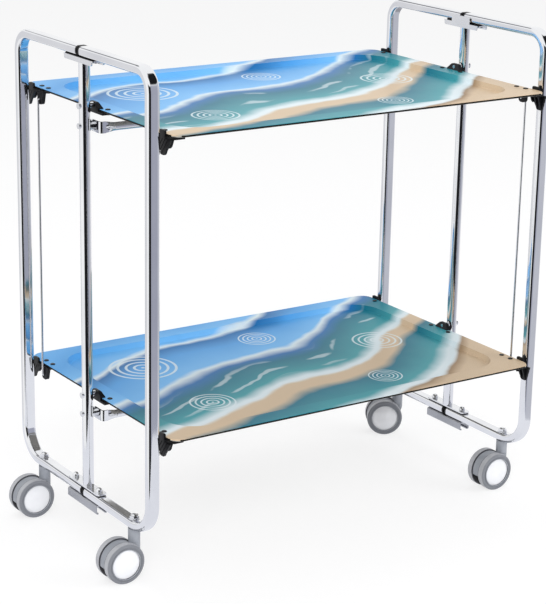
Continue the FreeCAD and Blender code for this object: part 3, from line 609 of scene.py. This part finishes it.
@dataclass(frozen=True)
class Tyre:
    """Grey tyre: pale tread, outer face darkened as painted shade, and lines of painted shade at
    its inner edge between the twin wheels and in the groove round the cap.
    """

    name: str
    centre: tuple
    axle: tuple
    tread: tuple = (0.47, 0.48, 0.51)
    # face is painted shade on the outer face; line is painted shade between the twin wheels and in
    # the cap groove
    face: tuple = (0.21, 0.22, 0.245)
    line: tuple = (0.05, 0.05, 0.06)
    shoulder: float = 0.0150
    outer_face: float = 0.0170
    inner_face: float = 0.0078
    cap_shade_radius: float = 0.0206
    cloud_cells: float = 70.0
    cloud_range: tuple = (0.35, 0.75)
    cloud_share: float = 0.2
    roughness: float = 0.38
    spread: float = 0.12
    grain: float = 0.2
    grain_depth: float = 0.00004
    grain_cells: float = 2400.0

    def build(self) -> bpy.types.Material:
        """The finish as a material."""
        finish = Finish(self.name)
        x, y, z = (value - middle for value, middle in zip(finish.axes(), self.centre))
        along = (x * self.axle[0] + y * self.axle[1]).size()
        across = x * self.axle[1] - y * self.axle[0]
        away = (across * across + z * z).power(0.5)
        # painted shade: the outer face darker, rising over the rounded shoulder, and dark lines
        # between the wheels and round the cap
        outer = along.step(self.shoulder, self.outer_face)
        lines = (along < self.inner_face).larger(
            (away < self.cap_shade_radius) * (along > self.shoulder))
        coloured = finish.mix(outer, self.tread, self.face)
        coloured = finish.mix(lines, coloured, self.line)
        cloud = finish.noise(self.cloud_cells, 3.0)
        patches = cloud.step(*self.cloud_range) * self.cloud_share
        coloured = finish.mix(patches, coloured, self.face)
        finish.set(Base_Color=coloured, Roughness=cloud * self.spread + self.roughness)
        finish.bump(finish.noise(self.grain_cells, 2.0), self.grain, self.grain_depth)
        return finish.material


def seen_rays(finish: Finish) -> Value:
    """Mask of the rays that show a surface itself.

    Args:
        finish: The finish that is being built.

    Returns:
        One for camera, glossy and transmission rays.
    """
    path = finish.add("ShaderNodeLightPath")
    rays = [finish.value(path.outputs[name]) for name in
            ("Is Camera Ray", "Is Glossy Ray", "Is Transmission Ray")]
    return rays[0].larger(rays[1]).larger(rays[2])


def middle_of(node: str) -> Vector:
    """Middle of a node's box."""
    low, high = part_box(node)
    return (Vector(low) + Vector(high)) / 2


def start_shape() -> None:
    """Nothing selected, so that the next primitive stands alone."""
    bpy.ops.object.select_all(action="DESELECT")


def choose_faces(test: Callable[[Vector], bool]) -> None:
    """Selects faces of the shape in edit mode by their place.

    Args:
        test: Says of a face's middle whether it is selected.
    """
    bpy.ops.mesh.select_all(action="DESELECT")
    bpy.ops.mesh.select_mode(type="FACE")
    shape = bmesh.from_edit_mesh(bpy.context.object.data)
    for face in shape.faces:
        face.select_set(test(face.calc_center_median()))
    shape.select_flush_mode()
    bmesh.update_edit_mesh(bpy.context.object.data)


def close_shape(name: str) -> bpy.types.Object:
    """Leaves edit mode with doubles merged and faces outwards.

    Args:
        name: The piece's name.

    Returns:
        The finished object, its place in its mesh.
    """
    bpy.ops.mesh.select_all(action="SELECT")
    bpy.ops.mesh.remove_doubles(threshold=MERGE_DISTANCE)
    bpy.ops.mesh.normals_make_consistent(inside=False)
    bpy.ops.object.mode_set(mode="OBJECT")
    piece = bpy.context.object
    piece.name = name
    bpy.ops.object.transform_apply(location=True, rotation=True, scale=True)
    return piece


def round_edges(piece: bpy.types.Object, width: float, segments: int = 2) -> None:
    """Rounds a piece's sharp edges and shades the rest smooth.

    Args:
        piece: The piece, active and selected.
        width: Width of the rounding.
        segments: Faces across the rounding.
    """
    bevel = piece.modifiers.new("rounding", "BEVEL")
    bevel.width = width
    bevel.segments = segments
    bevel.limit_method = "ANGLE"
    bpy.ops.object.modifier_apply(modifier=bevel.name)
    bpy.ops.object.shade_smooth_by_angle(angle=SMOOTH_ANGLE)


def copy_piece(piece: bpy.types.Object, name: str, place: Matrix,
               material: bpy.types.Material) -> bpy.types.Object:
    """A copy with its own mesh, moved in its mesh.

    Args:
        piece: The model.
        name: The copy's name.
        place: Where the copy goes.
        material: Its finish.

    Returns:
        The copy.
    """
    copy = piece.copy()
    copy.data = piece.data.copy()
    copy.name = name
    copy.data.transform(place)
    copy.data.materials.clear()
    copy.data.materials.append(material)
    bpy.context.collection.objects.link(copy)
    return copy


def dress(node: str, material: bpy.types.Material) -> None:
    """Gives a carried-over node its material on every slot.

    Args:
        node: The node's name.
        material: Its finish.
    """
    piece = bpy.data.objects[node]
    piece.data.materials.clear()
    piece.data.materials.append(material)
    LOG.info("dressed %s", node)


@dataclass
class Finishes:
    """The finishes of this cart, built once."""

    chrome: bpy.types.Material = field(init=False)
    tube: bpy.types.Material = field(init=False)
    plate: bpy.types.Material = field(init=False)
    dull: bpy.types.Material = field(init=False)
    wire: bpy.types.Material = field(init=False)
    black: bpy.types.Material = field(init=False)
    grey: bpy.types.Material = field(init=False)
    shade_black: bpy.types.Material = field(init=False)
    dome: bpy.types.Material = field(init=False)

    def __post_init__(self) -> None:
        """Builds each finish."""
        self.chrome = PolishedPlate("chrome_post").build()
        self.tube = RolledTube(PolishedPlate("chrome_tube")).build()
        self.plate = PolishedPlate("plated_steel", shade=(0.78, 0.79, 0.81),
                                   roughness=0.14, spread=0.08, scratch=0.15).build()
        self.dull = PolishedPlate("dull_plate", tint=(0.46, 0.47, 0.50),
                                  shade=(0.36, 0.37, 0.40),
                                  roughness=0.30, spread=0.10, scratch=0.20).build()
        self.wire = PolishedPlate("steel_wire", tint=(0.76, 0.77, 0.79),
                                  shade=(0.66, 0.67, 0.70),
                                  roughness=0.18, spread=0.06, scratch=0.15).build()
        self.black = MouldedPlastic("black_plastic", tint=(0.004, 0.004, 0.005),
                                    shade=(0.009, 0.009, 0.010),
                                    roughness=0.40, shine=0.22).build()
        self.grey = MouldedPlastic("castor_grey", tint=(0.30, 0.32, 0.36),
                                   shade=(0.36, 0.38, 0.42), roughness=0.42).build()
        # matt black of the strip of painted shade between the castor wheels
        self.shade_black = MouldedPlastic("painted_shade_black", tint=(0.003, 0.003, 0.004),
                                     shade=(0.006, 0.006, 0.007),
                                     roughness=0.60, shine=0.1).build()
        self.dome = MouldedPlastic("cap_dome", tint=(0.90, 0.91, 0.94),
                                   shade=(0.86, 0.87, 0.90),
                                   roughness=0.16, grain=0.03, coat=1.0).build()


@dataclass
class Tray:
    """One tray with its black fittings."""

    level: Level
    finishes: Finishes
    sheet: float = 0.003

    def dress(self) -> None:
        """Gives the panel its print and the fittings their plastic."""
        panel = f"{self.level.value}_tray_panel"
        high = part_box(panel)[1]
        printed = TrayPrint(f"{self.level.value}_tray_print",
                            underside_level=high[2] - self.sheet, border_top=high[2],
                            half_length=high[0], half_width=high[1])
        dress(panel, printed.build())
        for part in ("pivot_blocks", "corner_blocks", "rod_brackets", "rivets"):
            dress(f"{self.level.value}_tray_{part}", self.finishes.black)


@dataclass
class CentreFrame:
    """Posts, crossbars, hinge plates and pins, and the two link rods."""

    finishes: Finishes

    def dress(self) -> None:
        """Gives each piece its finish."""
        for side in Side:
            dress(f"post_{side.value}", self.finishes.chrome)
            for part in ("top_hinge_bracket", "bottom_hinge_plate"):
                dress(f"{part}_{side.value}", self.finishes.plate)
            dress(f"bottom_hinge_channel_{side.value}", self.finishes.dull)
        for level in Level:
            dress(f"crossbar_{level.value}", self.finishes.chrome)
        dress("crossbar_spacers", self.finishes.plate)
        dress("hinge_shims", self.finishes.black)
        for part in ("crossbar_screws", "hinge_pins", "tray_pivot_pins"):
            dress(part, self.finishes.plate)
        for end, side in ((End.REAR, Side.LEFT), (End.FRONT, Side.RIGHT)):
            dress(f"{end.value}_{side.value}_link_rod", self.finishes.wire)


@dataclass
class HalfFrame:
    """One C-shaped half frame with its end plugs and castor fixing."""

    end: End
    side: Side
    finishes: Finishes

    @property
    def prefix(self) -> str:
        """Start of the names of this half frame's nodes."""
        return f"{self.end.value}_{self.side.value}"

    def dress(self) -> None:
        """Gives tube, plugs and fixing their finishes."""
        dress(f"{self.prefix}_frame_tube", self.finishes.tube)
        dress(f"{self.prefix}_end_plugs", self.finishes.black)
        dress(f"{self.prefix}_castor_fixing", self.finishes.plate)


@dataclass
class CastorTrim:
    """Black strip of painted shade between the wheels and a bead round each cap, about the middle
    of an axle.

    The axle lies along Y and the stem stands towards +X.
    """

    fender_reach: float = 0.0266
    # the strip of painted shade that fills the dark gap below the fender
    shade_strip_thickness: float = 0.0014
    shade_strip_half_width: float = 0.0062
    shade_strip_start: float = 12.0
    shade_strip_turn: float = 36.0
    shade_strip_steps: int = 10
    bead_radius: float = 0.0211
    bead_width: float = 0.0011
    bead_rise: float = 0.0006
    bead_corners: int = 64
    wheel_face: float = 0.0174
    rounding: float = 0.00025

    def stop(self) -> bpy.types.Object:
        """The black strip of painted shade: its section spun about the axle, its edges rounded."""
        start_shape()
        bpy.ops.mesh.primitive_plane_add(size=1.0)
        bpy.ops.object.mode_set(mode="EDIT")
        bpy.ops.transform.resize(value=(self.shade_strip_thickness, 2 * self.shade_strip_half_width, 1.0))
        bpy.ops.transform.translate(value=(-self.fender_reach + self.shade_strip_thickness / 2, 0, 0))
        bpy.ops.mesh.spin(steps=self.shade_strip_steps, angle=math.radians(self.shade_strip_turn),
                          center=(0, 0, 0), axis=(0, 1, 0))
        piece = close_shape("castor_shade_strip_model")
        round_edges(piece, self.rounding)
        piece.data.transform(Matrix.Rotation(math.radians(-self.shade_strip_start), 4, "Y"))
        return piece

    def bead(self) -> bpy.types.Object:
        """The bead round the front cap: a disc inset to a ring, raised and rounded."""
        start_shape()
        bpy.ops.mesh.primitive_circle_add(vertices=self.bead_corners, radius=self.bead_radius,
                                          fill_type="NGON", rotation=(math.pi / 2, 0, 0),
                                          location=(0, -self.wheel_face, 0))
        bpy.ops.object.transform_apply(location=True, rotation=True, scale=True)
        bpy.ops.object.mode_set(mode="EDIT")
        bpy.ops.mesh.select_all(action="SELECT")
        bpy.ops.mesh.inset(thickness=self.bead_width)
        choose_faces(lambda middle: math.hypot(middle.x, middle.z) < self.bead_width)
        bpy.ops.mesh.delete(type="FACE")
        bpy.ops.mesh.select_all(action="SELECT")
        bpy.ops.mesh.extrude_region_move(
            TRANSFORM_OT_translate={"value": (0, -self.bead_rise, 0)})
        piece = close_shape("cap_bead_model")
        round_edges(piece, self.rounding)
        return piece


@dataclass
class Castor:
    """One twin-wheel castor, which may stand turned about its stem."""

    end: End
    side: Side
    finishes: Finishes
    shade_strip_model: bpy.types.Object
    bead_model: bpy.types.Object

    @property
    def prefix(self) -> str:
        """Start of the names of this castor's nodes."""
        return f"{self.end.value}_{self.side.value}_castor"

    def stand(self) -> Matrix:
        """Matrix from the axle's middle and the castor's turn about its stem."""
        front, rear = (middle_of(f"{self.prefix}_cap_{face.value}") for face in End)
        axle = (rear - front).normalized()
        turn = math.atan2(axle.y, axle.x) - math.pi / 2
        return Matrix.Translation((front + rear) / 2) @ Matrix.Rotation(turn, 4, "Z")

    def build(self) -> None:
        """Dresses the castor and adds its strip of painted shade and its beads."""
        stand = self.stand()
        centre = stand.translation
        axle = stand.to_3x3() @ Vector((0, 1, 0))
        tyre = Tyre(f"{self.prefix}_tyre", tuple(centre), (axle.x, axle.y)).build()
        dress(f"{self.prefix}_housing", self.finishes.grey)
        # black strip between the wheels: painted shade of the gap under the fender
        stop = copy_piece(self.shade_strip_model, f"{self.prefix}_stop", stand,
                          self.finishes.shade_black)
        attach(stop, self.prefix)
        for face in End:
            dress(f"{self.prefix}_wheel_{face.value}", tyre)
            dress(f"{self.prefix}_cap_{face.value}", self.finishes.dome)
            half_turn = Matrix.Rotation(0 if face is End.FRONT else math.pi, 4, "Z")
            bead = copy_piece(self.bead_model, f"{self.prefix}_bead_{face.value}",
                              stand @ half_turn, self.finishes.grey)
            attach(bead, f"{self.prefix}_{face.value}_wheel")
        LOG.info("built %s", self.prefix)


@dataclass(frozen=True)
class Band:
    """One dark or tinted patch of the world that bright metal mirrors, in degrees."""

    heading: float
    half_width: float
    low: float
    high: float
    colour: tuple
    soft: float = 3.0

    def mask(self, direction: tuple[Value, Value, Value]) -> Value:
        """Where the patch is.

        Args:
            direction: The three parts of the direction that is looked in.

        Returns:
            One inside the patch.
        """
        x, y, z = direction
        turn = math.radians(self.heading)
        flat = (x * x + y * y).power(0.5).larger(TINY)
        level = (x * math.cos(turn) + y * math.sin(turn)) / flat
        inside = level.step(math.cos(math.radians(self.half_width + self.soft)),
                            math.cos(math.radians(self.half_width - self.soft)))
        low, high = (math.sin(math.radians(edge)) for edge in (self.low, self.high))
        edge = math.radians(self.soft)
        return inside * z.step(low - edge, low + edge) * (1.0 - z.step(high - edge, high + edge))


@dataclass(frozen=True)
class SoftBox:
    """One rectangular lamp, which isn't mirrored: metres and watts."""

    name: str
    place: tuple
    size: tuple
    power: float
    target: tuple = (0, 0, 0.3)

    def build(self) -> None:
        """Adds the lamp, aimed at its target."""
        data = bpy.data.lights.new(self.name, "AREA")
        data.shape = "RECTANGLE"
        data.size, data.size_y = self.size
        data.energy = self.power
        lamp = bpy.data.objects.new(self.name, data)
        lamp.location = self.place
        aim = Vector(self.target) - Vector(self.place)
        lamp.rotation_mode = "QUATERNION"
        lamp.rotation_quaternion = aim.to_track_quat("-Z", "Y")
        lamp.visible_glossy = False
        bpy.context.collection.objects.link(lamp)


@dataclass
class Studio:
    """White floor and world, soft boxes, and the patches that draw lines in the chrome."""

    floor_size: float = 14.0
    floor_tint: tuple = (0.90, 0.90, 0.91)
    floor_roughness: float = 0.7
    floor_white: float = 0.68
    floor_glow: float = 1.09
    near_reach: float = 0.67
    near_rise: float = 0.0004
    near_corners: int = 96
    near_tint: tuple = (0.85, 0.86, 0.91)
    ambient: float = 0.6
    bands: tuple = (
        Band(118, 15, -40, 10, (0.78, 0.78, 0.80)),
        Band(100, 16, 27, 45, (0.20, 0.20, 0.22)),
        Band(28, 48, -91, -30, (0.35, 0.35, 0.38)),
        Band(316, 30, -60, 24, (0.56, 0.57, 0.63), 5.0),
        Band(291, 12, -60, 24, (0.38, 0.39, 0.47), 5.0),
        Band(243.5, 36.5, -60, 24, (0.012, 0.012, 0.014)),
        Band(318, 32, 27, 64, (0.012, 0.012, 0.014)))
    lamps: tuple = (
        SoftBox("key_box", (-1.9, -2.6, 2.0), (1.8, 1.8), 62.0),
        SoftBox("fill_box", (2.4, -2.0, 1.4), (1.6, 1.6), 30.0),
        SoftBox("top_box", (0.2, 0.8, 3.2), (2.4, 1.6), 22.0))

    def floor(self) -> None:
        """Adds the floor: it glows to the camera, takes the cart's shadow and isn't mirrored."""
        start_shape()
        bpy.ops.mesh.primitive_plane_add(size=self.floor_size, location=(0, 0, 0))
        plane = bpy.context.object
        plane.name = "studio_floor"
        finish = Finish("studio_floor")
        finish.set(Base_Color=self.floor_tint, Roughness=self.floor_roughness)
        finish.shader.inputs["Specular IOR Level"].default_value = 0.0
        glow = finish.add("ShaderNodeEmission", None, {"Color": (*WHITE, 1.0),
                                                       "Strength": self.floor_glow})
        shown = seen_rays(finish) * self.floor_white
        finish.surface(finish.add("ShaderNodeMixShader", None, {0: shown,
                                                                1: finish.shader.outputs[0],
                                                                2: glow.outputs[0]}))
        plane.data.materials.append(finish.material)
        plane.visible_glossy = False

    def near_floor(self) -> None:
        """Adds the bright floor round the wheels that the lower ends of the tubes mirror."""
        start_shape()
        bpy.ops.mesh.primitive_circle_add(vertices=self.near_corners, radius=self.near_reach,
                                          fill_type="NGON", location=(0, 0, self.near_rise))
        sheet = bpy.context.object
        sheet.name = "studio_near_floor"
        finish = Finish("studio_near_floor")
        finish.surface(finish.add("ShaderNodeEmission", None, {"Color": (*self.near_tint, 1.0),
                                                               "Strength": 1.0}))
        sheet.data.materials.append(finish.material)
        for rays in ("camera", "diffuse", "transmission", "shadow", "volume_scatter"):
            setattr(sheet, "visible_" + rays, False)

    def world(self) -> None:
        """White for the camera and in glass, the patches in gloss, a soft light elsewhere."""
        world = bpy.data.worlds.new("studio")
        world.use_nodes = True
        sky = Finish.of(world, "Background")
        split = sky.add("ShaderNodeSeparateXYZ", None,
                        {0: sky.add("ShaderNodeTexCoord").outputs["Generated"]})
        direction = tuple(sky.value(split.outputs[index]) for index in range(3))
        mirrored: Any = WHITE
        for band in self.bands:
            mirrored = sky.mix(band.mask(direction), mirrored, band.colour)
        path = sky.add("ShaderNodeLightPath")
        in_gloss = sky.value(path.outputs["Is Glossy Ray"])
        sky.feed(sky.shader.inputs["Color"], sky.mix(in_gloss, WHITE, mirrored))
        sky.feed(sky.shader.inputs["Strength"],
                 seen_rays(sky) * (1.0 - self.ambient) + self.ambient)
        bpy.context.scene.world = world

    def build(self) -> None:
        """Sets the whole studio up."""
        self.floor()
        self.near_floor()
        self.world()
        for lamp in self.lamps:
            lamp.build()


@dataclass
class StudioCamera:
    """Camera at the photograph's viewing angle, sizes in metres and degrees."""

    place: tuple = (-1.4611, -2.1612, 1.0896)
    heading: float = 33.8
    pitch: float = 16.96
    roll: float = 1.09
    focal_pixels: float = 1943.4
    frame_height: float = 604.0
    sensor: float = 36.0

    def build(self) -> None:
        """Adds the camera and makes it the scene's."""
        data = bpy.data.cameras.new("photo_camera")
        data.sensor_width = self.sensor
        data.lens = self.sensor * self.focal_pixels / self.frame_height
        camera = bpy.data.objects.new("photo_camera", data)
        bpy.context.collection.objects.link(camera)
        heading, pitch = math.radians(self.heading), math.radians(self.pitch)
        forward = Vector((math.sin(heading) * math.cos(pitch),
                          math.cos(heading) * math.cos(pitch), -math.sin(pitch)))
        aim = forward.to_track_quat("-Z", "Y").to_matrix().to_4x4()
        turn = Matrix.Rotation(math.radians(self.roll), 4, "Z")
        camera.matrix_world = Matrix.Translation(Vector(self.place)) @ aim @ turn
        bpy.context.scene.camera = camera


def main() -> None:
    """Builds the finishes, dresses every piece and sets up the studio."""
    logging.basicConfig(level=logging.INFO, format="%(message)s")
    bpy.context.scene.view_settings.view_transform = "Standard"
    finishes = Finishes()
    for level in Level:
        Tray(level, finishes).dress()
    CentreFrame(finishes).dress()
    trim = CastorTrim()
    models = (trim.stop(), trim.bead())
    for side in Side:
        for end in End:
            HalfFrame(end, side, finishes).dress()
            Castor(end, side, finishes, *models).build()
    for model in models:
        bpy.data.objects.remove(model)
    Studio().build()
    StudioCamera().build()


if __name__ == "__main__":
    main()
